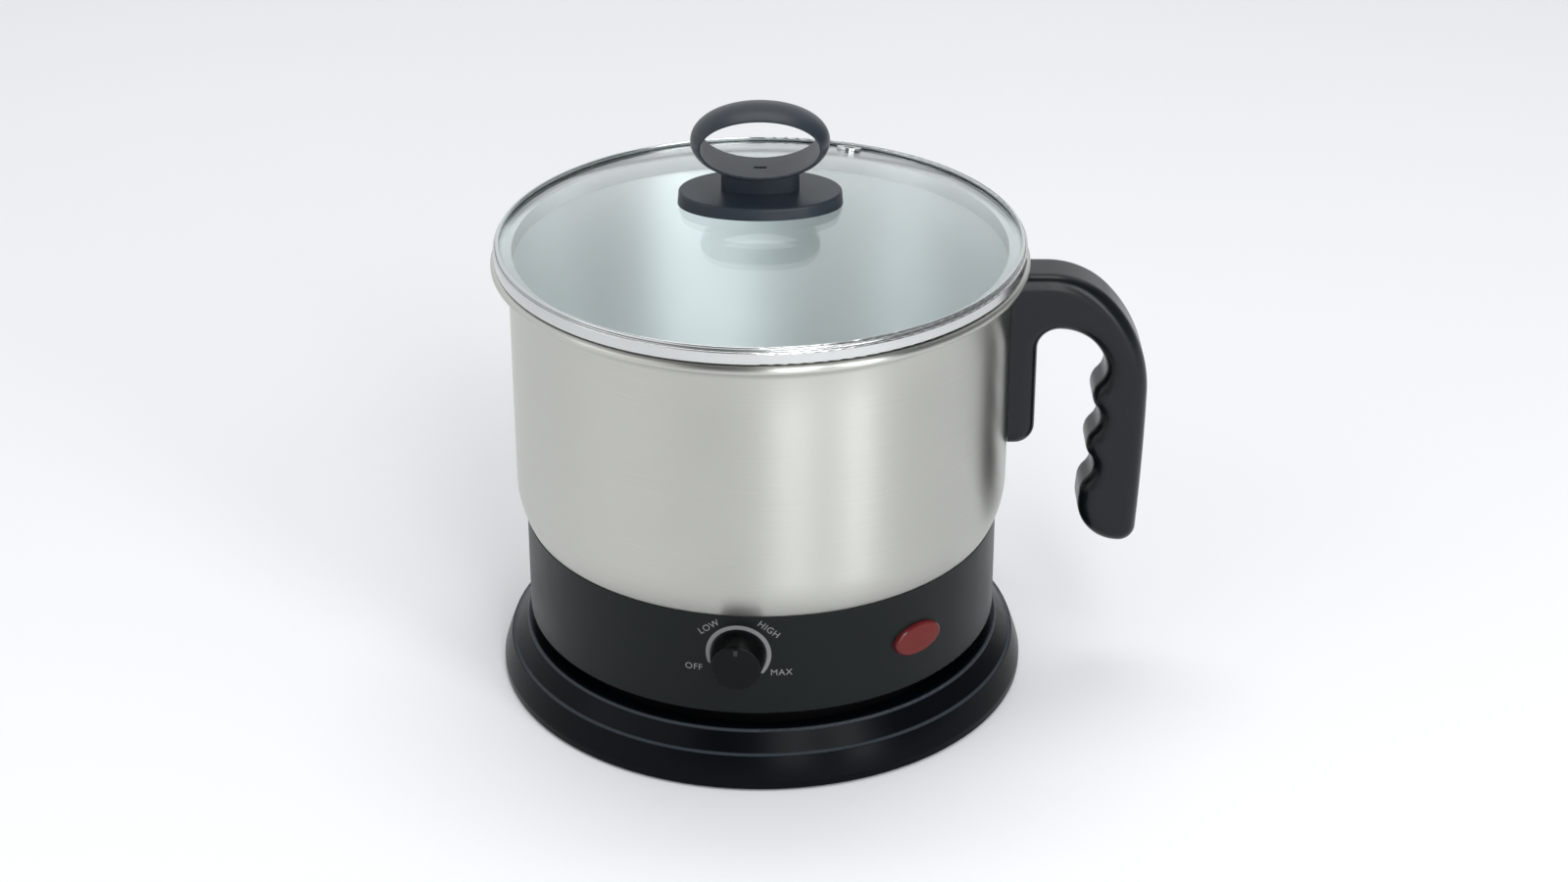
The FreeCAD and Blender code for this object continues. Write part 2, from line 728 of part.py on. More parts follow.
def dial(knob_back):
    """The round control knob with its bore for the shaft."""
    front = knob_back + dial_h
    deep = knob_back + shaft_in_knob + shaft_end_gap
    rim_w, hollow_d = dial_hollow
    skirt = Part.makeCone(dial_r, dial_face_r, dial_h, V(knob_back, 0, dial_z), V(1, 0, 0))
    knob = skirt.makeFillet(dial_round, [e for e in skirt.Edges if near(e.CenterOfMass.x, front)])
    knob = knob.cut(rod(dial_r - rim_w, knob_back, knob_back + hollow_d, 0, dial_z))
    bore = rod(shaft_r + slip_gap, knob_back, deep, 0, dial_z)
    key = block(knob_back + hollow_d, deep, -dial_r, dial_r, dial_z - dial_r,
                dial_z - shaft_r * shaft_flat - slip_gap)
    knob = knob.cut(bore.cut(key))
    mark_w, mark_t = mark_size
    mark = block(front - seat_gap, front - seat_gap + mark_t, -mark_w / 2, mark_w / 2,
                 dial_z + dial_face_r * mark_span[0], dial_z + dial_face_r * mark_span[1])
    save("dial_knob", spun(knob.fuse(mark).removeSplitter(), dial_angle))


def facing(degrees):
    """Turns a point given in front of the dial or the lamp into the pot's own frame."""
    c, s = math.cos(math.radians(degrees)), math.sin(math.radians(degrees))

    def place(x, y, z):
        return (x * c - y * s, x * s + y * c, z)

    return place


def wiring(pins, tab_x, roof_z):
    """The leads between the socket, the thermostat's tabs, the heater's pins and the lamp."""
    from_dial = facing(dial_angle)
    from_lamp = facing(lamp_angle)

    def inward(point, share, z):
        return (point[0] * share, point[1] * share, z)

    pin_a, pin_b = pins
    feed_x = neutral_ring_r + ring_t
    feed = lead([from_dial(feed_x, -lead_spread, roof_z), from_dial(feed_x, -lead_spread, dial_z),
                 from_dial(tab_x, -lead_spread, dial_z)], lead_bend, lead_r)
    turn_x = tab_x - lead_run * lead_bend
    switched = lead([from_dial(tab_x, lead_spread, dial_z), from_dial(turn_x, lead_spread, dial_z),
                     from_dial(turn_x, lead_spread, lead_low_z), (pin_b[0], pin_b[1], lead_low_z), pin_b],
                    lead_bend, lead_r)
    back = lead([pin_a, inward(pin_a, 1, lead_low_z), inward(pin_a, lead_outer, lead_low_z),
                 inward(pin_a, lead_outer, lead_high_z), inward(pin_a, lead_inner, lead_high_z),
                 inward(pin_a, lead_inner, roof_z)], lead_bend, lead_r)
    save("pot_leads", Part.makeCompound([feed, switched, back]))
    box_x = housing_inner_r - lens_tail - seat_gap - lamp_box_d
    drop_x = box_x - lead_run * lead_bend
    tap_z = pin_a[2] + terminal_len / 2
    ends = []
    for pin, y in ((pin_a, -lead_spread / 3), (pin_b, lead_spread / 3)):
        low = from_lamp(drop_x, y, tap_z)
        points = [from_lamp(box_x, y, lamp_z), from_lamp(drop_x, y, lamp_z), low]
        if pin is pin_a:
            points.append((0, pin[1] + 3 * lead_bend, tap_z))
        off = V(points[-1][0] - pin[0], points[-1][1] - pin[1], 0).normalize() * (terminal_r + seat_gap)
        points.append((pin[0] + off.x, pin[1] + off.y, tap_z))
        ends.append(lead(points, lead_bend, lamp_lead_r))
    save("lamp_leads", Part.makeCompound(ends))


def lamp():
    """The oval red lens, the lamp box behind it and the small neon lamp."""
    a = lens_w / 2
    b = lens_h / 2
    front = housing_r + lens_proud
    cap = oval_bar(a, b, housing_inner_r, front, lamp_z)
    edge = [e for e in cap.Edges if near(e.CenterOfMass.x, front)]
    cap = cap.makeFillet(lens_edge_r, edge).cut(disc(housing_r + seat_gap, 0, joint_z))
    stem_x = housing_inner_r - lens_tail
    stem = oval_bar(a - lens_lap, b - lens_lap, stem_x, housing_r + lens_proud / 2, lamp_z)
    save("lamp_lens", spun(cap.fuse(stem).removeSplitter(), lamp_angle))
    wall = lamp_box_wall
    x1 = stem_x - seat_gap
    x0 = x1 - lamp_box_d
    half = a - lamp_box_trim
    box = block(x0, x1, -half, half, lamp_z - b, lamp_z + b)
    room = block(x0 + wall, x1, wall - half, half - wall, lamp_z - b + wall, lamp_z + b - wall)
    save("lamp_box", spun(box.cut(room), lamp_angle))
    neon_x = x0 + wall + neon_r + seat_gap
    neon = Part.makeCylinder(neon_r, neon_len, V(neon_x, -neon_len / 2, lamp_z), V(0, 1, 0))
    ends = [e for e in neon.Edges if near(abs(e.CenterOfMass.y), neon_len / 2)]
    save("neon_lamp", spun(neon.makeFillet(neon_r * bulb_round, ends), lamp_angle))


def handle_outline():
    """The side view of the handle, from the top of the wall round the grip and back to the leg's foot."""
    shoulder = (arm_flat, handle_top_z - shoulder_r)
    turn_a = 90 - shoulder_turn
    s, c = math.sin(math.radians(shoulder_turn)), math.cos(math.radians(shoulder_turn))
    side_r = (handle_reach - arm_flat - shoulder_r * s) / (1 - s)
    side_c = (handle_reach - side_r, shoulder[1] + shoulder_r * c - side_r * c)
    foot_c = (handle_reach - grip_taper - grip_foot_r, grip_foot_z + grip_foot_r)
    taper_mid = (handle_reach - grip_taper / 4, (side_c[1] + foot_c[1]) / 2)
    heel_c = (foot_c[0], grip_foot_z + grip_heel_r)
    lean = math.radians(grip_lean)
    along = (math.sin(lean), math.cos(lean))
    outward = (-math.cos(lean), math.sin(lean))
    heel_end = on_arc(heel_c, grip_heel_r, 180 - grip_lean)
    rise = (crest_z - heel_end[1]) / along[1]
    crest = (heel_end[0] + rise * along[0], crest_z)
    half = wave_pitch / 2
    amp = wave_depth / 2
    wave_r = (half ** 2 / 4 + amp ** 2) / (2 * amp)

    def on_wave(steps, out):
        """A point a number of half waves above the first crest and out from the wave's middle line."""
        return tuple(crest[i] + (out - amp) * outward[i] + steps * half * along[i] for i in range(2))

    swing = math.degrees(math.asin(half / 2 / wave_r)) / 2
    first = 180 - grip_lean
    crest_c = tuple(crest[i] - wave_r * outward[i] for i in range(2))
    waves = [on_arc(crest_c, wave_r, first - swing) + on_wave(0.5, 0)]
    for i in range(1, 2 * wave_count - 1):
        waves.append(on_wave(i, amp if i % 2 == 0 else -amp) + on_wave(i + 0.5, 0))
    last = on_wave(2 * wave_count - 1, -amp)
    trough_c = tuple(last[i] + wave_r * outward[i] for i in range(2))
    from_a = -grip_lean - 2 * swing
    to_a = arch_turn - 90
    waves.append(arc(trough_c, wave_r, from_a, to_a))
    cos_t = math.cos(math.radians(arch_turn))
    arch_r = (arch_z - trough_c[1] + wave_r * cos_t) / (1 + cos_t)
    back = arch_r - wave_r
    arch_c = on_arc(trough_c, back, to_a + 180)
    root_r = arch_c[0] - leg_x
    root_c = (arch_c[0], arch_z - root_r)
    leg_c = (leg_x - leg_foot_r, leg_foot_z + leg_foot_r)
    start_x = pot_inner_r - handle_edge_r
    steps = [
        (arm_flat, handle_top_z),
        arc(shoulder, shoulder_r, 90, turn_a),
        arc(side_c, side_r, turn_a, 0),
        taper_mid + (foot_c[0] + grip_foot_r, foot_c[1]),
        arc(foot_c, grip_foot_r, 0, -90),
        arc(heel_c, grip_heel_r, 270, first),
        crest,
    ]
    steps += waves
    steps += [
        arc(arch_c, arch_r, to_a, 90),
        arc(root_c, root_r, 90, 180),
        (leg_x, leg_c[1]),
        arc(leg_c, leg_foot_r, 0, -90),
        (start_x, leg_foot_z),
    ]
    return (start_x, handle_top_z), steps


def handle():
    """The hook-shaped handle, the bracket on the pot's wall and its screws."""
    start, steps = handle_outline()
    half_w = handle_w / 2
    side = face(start, steps)
    side.translate(V(0, -half_w, 0))
    grip = side.extrude(V(0, handle_w, 0))
    rim = [e for e in grip.Edges
           if near(abs(e.CenterOfMass.y), half_w) and not near(e.CenterOfMass.x, start[0])]
    grip = grip.makeFillet(handle_edge_r, rim)
    grip = grip.cut(disc(pot_r + seat_gap, 0, rim_z_top))
    half = bracket_w / 2
    room = bracket_t + fit_gap
    strip = tube(pot_r, pot_r + bracket_t, bracket_z0, bracket_z1)
    pocket = tube(pot_r, pot_r + room, bracket_z0 - fit_gap, bracket_z1 + fit_gap)
    strip = strip.common(block(0, base_r, -half, half, bracket_z0, bracket_z1))
    pocket = pocket.common(block(0, base_r, -half - fit_gap, half + fit_gap, 0, rim_z_top))
    grip = grip.cut(pocket)
    shank_r, head_r, head_h = HANDLE
    head_x = leg_x - handle_head_sink
    seat = head_x - head_h
    pins = []
    for z in (bracket_z0 + handle_screw_low, bracket_z1 - handle_screw_high):
        strip = strip.cut(rod(shank_r + slip_gap, pot_inner_r, seat, 0, z))
        grip = grip.cut(rod(shank_r + fit_gap, pot_inner_r, seat, 0, z))
        grip = grip.cut(rod(head_r + fit_gap, seat, leg_x + handle_edge_r, 0, z))
        slot = block(head_x - head_h / 2, head_x, -head_r, head_r, z - slot_half, z + slot_half)
        shank = rod(shank_r, pot_r + fit_gap, seat, 0, z)
        pins.append(rod(head_r, seat, head_x, 0, z).fuse(shank).cut(slot))
    save("handle", grip)
    save("handle_bracket", strip)
    save("handle_screws", Part.makeCompound(pins))


def on_dome(shape):
    """Stands a piece drawn on the Z axis on the glass at the steam hole, square to the dome."""
    tilt = math.degrees(math.asin(vent_ring_r / dome_r))
    shape.translate(V(0, 0, dome_r))
    shape.rotate(ORIGIN, V(-vent_y, vent_x, 0), tilt)
    shape.translate(V(0, 0, dome_c))
    return shape


def lid():
    """The domed glass, the steel band round its edge and the steam eyelet."""
    over_a = math.degrees(math.asin(glass_edge_r / dome_r))
    under_r = dome_r - glass_t
    edge_out = on_arc((0, dome_c), dome_r, 90 - over_a)
    low_r = glass_edge_r * under_r / dome_r
    edge_in = (low_r, dome_c + math.sqrt(under_r ** 2 - low_r ** 2))
    bore = KNOB[0] + fit_gap
    hole_top = (bore, dome_c + math.sqrt(dome_r ** 2 - bore ** 2))
    hole_low = (bore, dome_c + math.sqrt(under_r ** 2 - bore ** 2))
    mid_r = glass_edge_r / 2
    glass = turned(
        hole_low,
        [
            (mid_r, dome_c + math.sqrt(under_r ** 2 - mid_r ** 2)) + edge_in,
            (glass_edge_r, glass_z0 + seat_gap),
            edge_out,
            (mid_r, dome_c + math.sqrt(dome_r ** 2 - mid_r ** 2)) + hole_top,
        ],
    )
    vent_out = vent_bore_r + vent_wall
    glass = glass.cut(on_dome(disc(vent_out + seat_gap, -2 * glass_t, glass_t)))
    save("lid_glass", glass)

    top = edge_out[1] + seat_gap
    t = band_t
    skirt_r = pot_inner_r - 2 * fit_gap
    lip_x = band_r - lip_reach
    lip_rise = lip_reach * glass_edge_r / dome_r
    band = turned(
        (band_r - t, seat_z),
        [
            (band_r - t * 0.3, seat_z + t * 0.3, band_r, seat_z + t),
            (band_r, top - seat_gap),
            (band_r - t * 0.3, top + t * 0.6, band_r - t, top + t * 0.75),
            (band_r - 1.5 * t, top + t * 0.35, band_r - 2 * t, top + t * 0.9 + lip_rise * 0.3),
            (lip_x + t * 0.6, top + lip_rise + t * 1.9, lip_x, top + lip_rise + t),
            (lip_x, top + lip_rise),
            (band_r - t, top),
            (band_r - t, seat_z + t),
            (skirt_r - t, seat_z + t),
            (skirt_r - t, seat_z - skirt_h),
            (skirt_r, seat_z - skirt_h),
            (skirt_r, seat_z),
        ],
    )
    save("lid_band", band)

    barrel = tube(vent_bore_r, vent_out, -glass_t - seat_gap, seat_gap)
    cap = tube(vent_bore_r, vent_flange_r, seat_gap, seat_gap + vent_flange_t)
    nut = tube(vent_bore_r, vent_flange_r, -glass_t - seat_gap - vent_flange_t, -glass_t - seat_gap)
    save("vent_eyelet", on_dome(barrel.fuse([cap, nut]).removeSplitter()))


def lid_knob():
    """The oval plate and the finger ring on the lid, with the gasket, washer and screw that hold them."""
    low_z = glass_top_z - knob_plate_skirt
    draft = knob_plate_draft
    out = V(1, 0, 0)
    plate = Part.makeLoft([oval(knob_plate_a, knob_plate_b, V(0, 0, low_z), UP, out),
                           oval(knob_plate_a - draft, knob_plate_b - draft, V(0, 0, knob_plate_z), UP, out)],
                          True, True)
    rim = [e for e in plate.Edges if near(e.CenterOfMass.z, knob_plate_z)]
    plate = plate.makeFillet(knob_plate_round, rim)
    plate = plate.cut(Part.makeSphere(dome_r + seat_gap, V(0, 0, dome_c)))
    plate = plate.cut(disc(gasket_r + fit_gap, low_z, glass_top_z + gasket_t))
    plate = plate.cut(disc(KNOB[0] + fit_gap, low_z, knob_plate_z))
    save("knob_plate", plate)
    save("knob_gasket", tube(KNOB[0] + fit_gap, gasket_r, glass_top_z + slip_gap, glass_top_z + gasket_t))

    sections = []
    edge_a = knob_hole_a + knob_ring_edge
    edge_b = knob_hole_b + knob_ring_edge
    for i in range(knob_sections):
        y = knob_depth * (i / (knob_sections - 1) - 0.5)
        swell = 1 - (2 * y / knob_depth) ** 2
        a = edge_a + (knob_ring_a - edge_a) * swell
        b = edge_b + (knob_ring_b - edge_b) * swell
        sections.append(oval(a, b, V(0, y, knob_ring_z), V(0, 1, 0), out))
    ring = Part.makeLoft(sections, True, False)
    stem_top = knob_ring_z - knob_hole_b - stem_drop
    stem_face = Part.Face(oval(stem_a, stem_b, V(0, 0, knob_plate_z), UP, out))
    stem = stem_face.extrude(UP * (stem_top - knob_plate_z))
    hole_face = Part.Face(oval(knob_hole_a, knob_hole_b, V(0, -knob_depth, knob_ring_z), V(0, 1, 0), out))
    knob = ring.fuse(stem).cut(hole_face.extrude(V(0, 2 * knob_depth, 0)))
    floor = knob_ring_z - knob_hole_b
    w, d, h = slot_mark
    knob = knob.cut(block(-w / 2, w / 2, -d / 2, d / 2, floor - h, floor + 1))
    tip = stem_top - knob_screw_cover
    knob = knob.cut(disc(KNOB[0] + slip_gap, knob_plate_z, tip + fit_gap))
    save("knob_ring", knob)

    under_z = glass_top_z - glass_t
    save("knob_washer", tube(KNOB[0] + fit_gap, washer_r, under_z - washer_t - seat_gap, under_z - seat_gap))
    save("knob_screw", screw(KNOB, under_z - washer_t - seat_gap, tip))


power_base()
cord_gland()
socket_r, cover_top_z, socket_top_z = power_plug()
housing(socket_r, cover_top_z)
steel_pot()
pin_ends = heater()
knob_back_x, tab_end_x = thermostat()
dial(knob_back_x)
wiring(pin_ends, tab_end_x, socket_top_z)
lamp()
handle()
lid()
lid_knob()
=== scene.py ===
import math

import bmesh
import bpy
from mathutils import Matrix, Vector


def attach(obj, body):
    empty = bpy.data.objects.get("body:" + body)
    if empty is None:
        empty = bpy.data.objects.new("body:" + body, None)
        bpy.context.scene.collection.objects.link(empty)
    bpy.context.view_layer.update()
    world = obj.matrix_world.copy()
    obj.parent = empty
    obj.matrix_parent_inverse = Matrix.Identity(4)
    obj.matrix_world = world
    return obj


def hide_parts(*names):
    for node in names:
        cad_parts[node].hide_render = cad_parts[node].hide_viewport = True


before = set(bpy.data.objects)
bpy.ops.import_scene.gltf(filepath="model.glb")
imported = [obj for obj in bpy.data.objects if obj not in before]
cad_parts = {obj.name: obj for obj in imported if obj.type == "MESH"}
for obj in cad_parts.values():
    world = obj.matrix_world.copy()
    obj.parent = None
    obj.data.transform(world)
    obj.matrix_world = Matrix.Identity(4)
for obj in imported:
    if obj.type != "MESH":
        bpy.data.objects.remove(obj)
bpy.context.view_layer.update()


# Studio: a pale table top that runs out to a white room whose ceiling and right side are dim. A tall soft
# lamp stands far right of the camera, a wide one left of it, three small ones over its right shoulder, and
# one hangs behind the pot. The camera faces +Y and looks down 27 degrees.
def pale_table(name, colour):
    material = bpy.data.materials.new(name)
    material.use_nodes = True
    nodes, links = material.node_tree.nodes, material.node_tree.links
    shader = nodes["Principled BSDF"]
    shader.inputs["Roughness"].default_value = 0.62
    place = nodes.new("ShaderNodeTexCoord")
    cloud = nodes.new("ShaderNodeTexNoise")
    cloud.inputs["Scale"].default_value = 3.0
    tone = nodes.new("ShaderNodeMix")
    tone.data_type = "RGBA"
    tone.inputs["A"].default_value = (*colour, 1)
    tone.inputs["B"].default_value = (colour[0] * 0.97, colour[1] * 0.97, colour[2] * 0.98, 1)
    links.new(place.outputs["Object"], cloud.inputs["Vector"])
    links.new(cloud.outputs["Fac"], tone.inputs["Factor"])
    links.new(tone.outputs["Result"], shader.inputs["Base Color"])
    return material


table = bmesh.new()
bmesh.ops.create_grid(table, x_segments=8, y_segments=8, size=6.0)
table_mesh = bpy.data.meshes.new("table_top")
table.to_mesh(table_mesh)
table.free()
table_top = bpy.data.objects.new("table_top", table_mesh)
table_mesh.materials.append(pale_table("table_pale", (0.84, 0.84, 0.845)))
bpy.context.scene.collection.objects.link(table_top)

room = bpy.data.worlds.new("white_room")
bpy.context.scene.world = room
room.use_nodes = True
room_nodes, room_links = room.node_tree.nodes, room.node_tree.links
walls = room_nodes["Background"]
walls.inputs["Color"].default_value = (0.95, 0.975, 1.0, 1)
ray = room_nodes.new("ShaderNodeLightPath")
mirrored = room_nodes.new("ShaderNodeMath")
through = room_nodes.new("ShaderNodeMath")
through.use_clamp = True
level = room_nodes.new("ShaderNodeMapRange")
fill_level = 0.62
level.inputs["To Min"].default_value = fill_level
way = room_nodes.new("ShaderNodeTexCoord")
behind_camera = room_nodes.new("ShaderNodeVectorMath")
behind_camera.operation = "DOT_PRODUCT"
behind_camera.inputs[1].default_value = (0.0, -0.6, 1.0)
to_right = room_nodes.new("ShaderNodeVectorMath")
to_right.operation = "DOT_PRODUCT"
to_right.inputs[1].default_value = (1.0, 0.0, 0.0)
both = room_nodes.new("ShaderNodeMath")
both.operation = "MULTIPLY"
for side, socket, first, last, darkest in ((behind_camera, 0, 0.45, 0.85, 0.12),
                                           (to_right, 1, 0.40, 0.80, 0.22)):
    dim = room_nodes.new("ShaderNodeMapRange")
    dim.interpolation_type = "SMOOTHSTEP"
    dim.inputs["From Min"].default_value = first
    dim.inputs["From Max"].default_value = last
    dim.inputs["To Min"].default_value = 1.0
    dim.inputs["To Max"].default_value = darkest
    room_links.new(way.outputs["Generated"], side.inputs[0])
    room_links.new(side.outputs["Value"], dim.inputs["Value"])
    room_links.new(dim.outputs["Result"], both.inputs[socket])
room_links.new(both.outputs["Value"], level.inputs["To Max"])
room_links.new(ray.outputs["Is Camera Ray"], mirrored.inputs[0])
room_links.new(ray.outputs["Is Glossy Ray"], mirrored.inputs[1])
room_links.new(mirrored.outputs["Value"], through.inputs[0])
room_links.new(ray.outputs["Is Transmission Ray"], through.inputs[1])
room_links.new(through.outputs["Value"], level.inputs["Value"])
room_links.new(level.outputs["Result"], walls.inputs["Strength"])


def soft_lamp(name, spot, aim, width, height, power, tint=(1.0, 1.0, 1.0)):
    lamp = bpy.data.lights.new(name, "AREA")
    lamp.shape = "RECTANGLE"
    lamp.size, lamp.size_y = width, height
    lamp.energy = power
    lamp.color = tint
    holder = bpy.data.objects.new(name, lamp)
    holder.location = spot
    holder.rotation_euler = (Vector(aim) - Vector(spot)).to_track_quat("-Z", "Y").to_euler()
    bpy.context.scene.collection.objects.link(holder)


soft_lamp("tall_lamp_right", (1.05, -1.15, 0.82), (0, 0, 0.10), 0.40, 1.60, 11.0, (0.96, 0.985, 1.0))
soft_lamp("wide_lamp_left", (-1.40, -0.80, 1.10), (0, 0, 0.10), 1.50, 1.20, 6.0)
soft_lamp("low_shoulder_lamp", (0.31, -1.36, 0.42), (0.05, 0, 0.12), 0.36, 0.54, 2.6, (0.97, 0.99, 1.0))
soft_lamp("shoulder_lamp", (0.31, -1.18, 0.90), (0.05, 0, 0.12), 0.36, 0.54, 2.8, (0.97, 0.99, 1.0))
soft_lamp("high_lamp", (0.31, -0.82, 1.26), (0.05, 0, 0.12), 0.36, 0.54, 3.0, (0.97, 0.99, 1.0))
soft_lamp("lamp_overhead", (0.0, 0.45, 1.7), (0, 0, 0.1), 1.2, 0.45, 7.0)

lens = bpy.data.cameras.new("camera")
lens.sensor_width = 36.0
lens.lens = 69.55
camera = bpy.data.objects.new("camera", lens)
camera.location = (0.0075, -0.8881, 0.5396)
camera.rotation_euler = (math.radians(62.63), 0, 0)
bpy.context.scene.collection.objects.link(camera)
bpy.context.scene.camera = camera

scene = bpy.context.scene
scene.view_settings.view_transform = "Standard"


# Base shell: the black moulded tray that stays on the table, with a bulged skirt, a step and a raised
# lip round a sunk deck. Injection-moulded plastic with a fine spark grain, with a painted highlight as pale
# lines on its two edges, standing in for lamp glints.
def node_into(tree, kind, sockets):
    """Adds a node to a material and sets its input sockets by name."""
    node = tree.nodes.new(kind)
    for name, value in sockets.items():
        node.inputs[name].default_value = value
    return node


def moulded_plastic(name, deep, pale, roughness, grain=2200.0, depth=0.00002, spread=0.06, ior=1.5):
    """Plastic with a spark-eroded grain and slow changes of tone and gloss over a hand's width."""
    material = bpy.data.materials.new(name)
    material.use_nodes = True
    tree = material.node_tree
    shader = tree.nodes["Principled BSDF"]
    shader.inputs["IOR"].default_value = ior
    place = tree.nodes.new("ShaderNodeTexCoord")
    slow = node_into(tree, "ShaderNodeTexNoise", {"Scale": 28.0, "Detail": 3.0, "Roughness": 0.55})
    fine = node_into(tree, "ShaderNodeTexNoise", {"Scale": grain, "Detail": 2.0, "Roughness": 0.6})
    tone = tree.nodes.new("ShaderNodeMix")
    tone.data_type = "RGBA"
    tone.inputs["A"].default_value = (*deep, 1)
    tone.inputs["B"].default_value = (*pale, 1)
    gloss = node_into(tree, "ShaderNodeMapRange", {"From Min": 0.3, "From Max": 0.7,
                                                   "To Min": roughness - spread,
                                                   "To Max": roughness + spread})
    raised = node_into(tree, "ShaderNodeBump", {"Strength": 0.35, "Distance": depth})
    for pattern in (slow, fine):
        tree.links.new(place.outputs["Object"], pattern.inputs["Vector"])
    tree.links.new(slow.outputs["Fac"], tone.inputs["Factor"])
    tree.links.new(slow.outputs["Fac"], gloss.inputs["Value"])
    tree.links.new(fine.outputs["Fac"], raised.inputs["Height"])
    tree.links.new(tone.outputs["Result"], shader.inputs["Base Color"])
    tree.links.new(gloss.outputs["Result"], shader.inputs["Roughness"])
    tree.links.new(raised.outputs["Normal"], shader.inputs["Normal"])
    return material


def dress(node, material):
    """Gives a CAD node a finish of its own."""
    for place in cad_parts[node].material_slots:
        place.material = material


def painted_edge_highlight(material, edges, reach, pale):
    """Paints a pale highlight along edges, standing in for lamp glints; each edge is given as a ring radius
    and a height.
    """
    tree = material.node_tree
    shader = tree.nodes["Principled BSDF"]
    place = tree.nodes.new("ShaderNodeTexCoord")
    split = tree.nodes.new("ShaderNodeSeparateXYZ")
    flat = tree.nodes.new("ShaderNodeCombineXYZ")
    ring = tree.nodes.new("ShaderNodeVectorMath")
    ring.operation = "LENGTH"
    spot = tree.nodes.new("ShaderNodeCombineXYZ")
    highlight_mix = tree.nodes.new("ShaderNodeMix")
    highlight_mix.data_type = "RGBA"
    highlight_mix.inputs["B"].default_value = (*pale, 1)
    most = tree.nodes.new("ShaderNodeMath")
    most.operation = "MAXIMUM"
    links = tree.links
    links.new(place.outputs["Object"], split.inputs["Vector"])
    links.new(split.outputs["X"], flat.inputs["X"])
    links.new(split.outputs["Y"], flat.inputs["Y"])
    links.new(flat.outputs["Vector"], ring.inputs[0])
    links.new(ring.outputs["Value"], spot.inputs["X"])
    links.new(split.outputs["Z"], spot.inputs["Y"])
    for socket, (edge_r, edge_z) in enumerate(edges):
        away = tree.nodes.new("ShaderNodeVectorMath")
        away.operation = "DISTANCE"
        away.inputs[1].default_value = (edge_r, edge_z, 0)
        near = node_into(tree, "ShaderNodeMapRange", {"From Min": reach * 0.35, "From Max": reach,
                                                      "To Min": 1.0, "To Max": 0.0})
        links.new(spot.outputs["Vector"], away.inputs[0])
        links.new(away.outputs["Value"], near.inputs["Value"])
        links.new(near.outputs["Result"], most.inputs[socket])
    links.new(shader.inputs["Base Color"].links[0].from_socket, highlight_mix.inputs["A"])
    links.new(most.outputs["Value"], highlight_mix.inputs["Factor"])
    links.new(highlight_mix.outputs["Result"], shader.inputs["Base Color"])
    return material


# Painted highlight: pale lines on the lip and step edges of the base stand in for the lamp glints there.
lip_edge, step_edge, highlight_reach = (0.0790, 0.0176), (0.0839, 0.0114), 0.0008
base_plastic = moulded_plastic("base_plastic", (0.0012, 0.0016, 0.0024), (0.0020, 0.0030, 0.0046), 0.26,
                               spread=0.03, ior=1.17)
dress("base_shell", painted_edge_highlight(base_plastic, (lip_edge, step_edge), highlight_reach, (0.034, 0.040, 0.048)))
dress("base_cover", moulded_plastic("base_cover_plastic", (0.010, 0.010, 0.011), (0.018, 0.018, 0.019), 0.55))


# Feet: four soft rubber pads pressed into pockets of the base cover.
# Each is matt and a little speckled.
def moulded_rubber(name, deep, pale, roughness=0.8):
    return moulded_plastic(name, deep, pale, roughness, grain=900.0, depth=0.00006)


dress("base_feet", moulded_rubber("foot_rubber", (0.020, 0.020, 0.021), (0.045, 0.044, 0.043)))


# Screws: bright zinc-plated steel, turned and pressed, with a straight slot in each head. The plating has
# a faint blue and yellow cloud and fine turning rings.
def plated_steel(name, deep, pale, roughness, grain=1400.0):
    material = moulded_plastic(name, deep, pale, roughness, grain=grain, depth=0.000012)
    material.node_tree.nodes["Principled BSDF"].inputs["Metallic"].default_value = 1.0
    return material


zinc = plated_steel("zinc_plate", (0.50, 0.52, 0.56), (0.66, 0.65, 0.60), 0.34)
for fixing in ("base_screws", "pot_cover_screws", "fixing_posts", "thermostat_screws", "handle_screws",
               "handle_bracket", "heater_terminals", "boil_dry_cutout", "cutout_strap", "thermostat_plate",
               "thermostat_shaft"):
    dress(fixing, zinc)


# Cord gland: the soft bushing in the back wall of the base that the mains lead would leave through.
# Black flexible PVC with a rounded mouth.
dress("cord_gland", moulded_rubber("gland_pvc", (0.012, 0.012, 0.013), (0.028, 0.028, 0.030), 0.6))


# Connector: a round tower in the deck with ring slots, and the matching socket under the pot with two
# brass rings and an earth pin. The contacts are bright brass.
contact_brass = plated_steel("contact_brass", (0.56, 0.38, 0.13), (0.80, 0.62, 0.30), 0.28)
dress("connector_tower", moulded_plastic("tower_plastic", (0.012, 0.013, 0.015), (0.022, 0.023, 0.026), 0.42))
dress("pot_socket", moulded_plastic("socket_plastic", (0.016, 0.016, 0.017), (0.030, 0.030, 0.031), 0.45))
for contact in ("tower_contacts", "tower_earth_sleeve", "socket_rings", "socket_earth_pin",
                "thermostat_tabs"):
    dress(contact, contact_brass)


# Housing: the black ring below the pot with the dial and lamp openings, its bottom cover, and the dark
# silicone seal in the joint. Satin moulded plastic with a slight green cast.
dress("housing", moulded_plastic("housing_plastic", (0.0040, 0.0052, 0.0054), (0.0060, 0.0088, 0.0092), 0.36,
                                 ior=1.25))
dress("pot_cover", moulded_plastic("pot_cover_plastic", (0.0015, 0.0015, 0.0016), (0.0030, 0.0030, 0.0032),
                                   0.55, ior=1.2))
dress("pot_seal", moulded_rubber("seal_silicone", (0.004, 0.004, 0.004), (0.008, 0.008, 0.008), 0.7))


